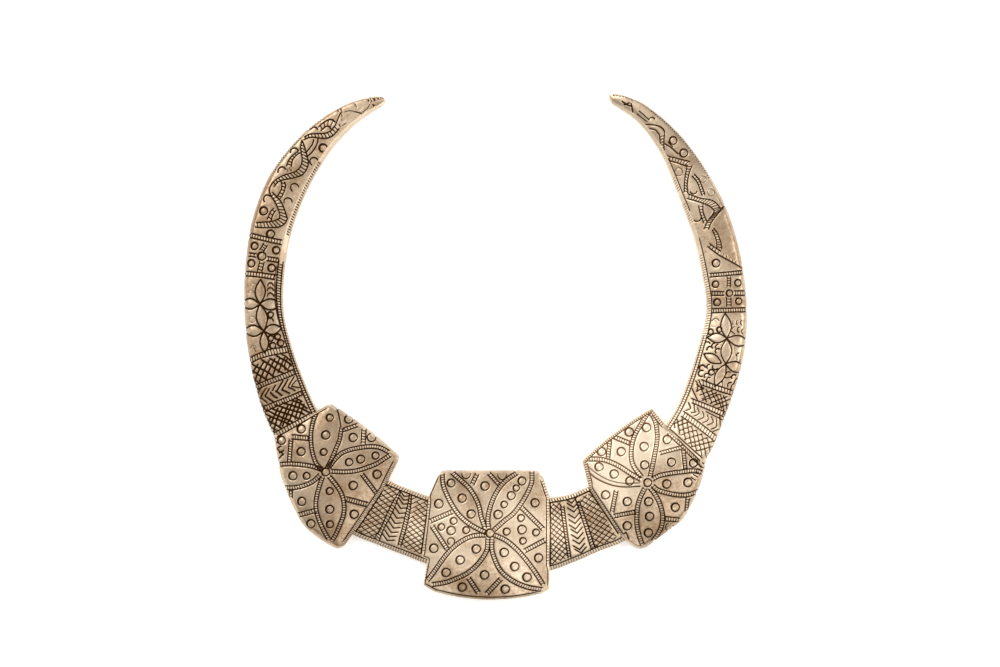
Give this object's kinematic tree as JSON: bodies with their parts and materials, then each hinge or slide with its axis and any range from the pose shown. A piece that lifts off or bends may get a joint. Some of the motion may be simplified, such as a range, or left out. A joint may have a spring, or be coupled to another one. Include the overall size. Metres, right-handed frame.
{
  "type": "torc necklace",
  "caption": "Rigid silver neck ring with horned arms, broad engraved plaques and patterned links on a flat back.",
  "frame": {"origin": "middle of the ring's own box, on the surface that its flat back lies on", "axes": "+Z out of the engraved face, +Y from the middle plaque to the open mouth between the horn tips, +X to the wearer's left"},
  "size_m": [0.201, 0.202, 0.008],
  "materials": {
    "aged_silver": "worn, warm low-grade silver with dark tarnish left in the chased lines"
  },
  "bodies": {
    "root": {"torc_body": "aged_silver"}
  },
  "joints": []
}
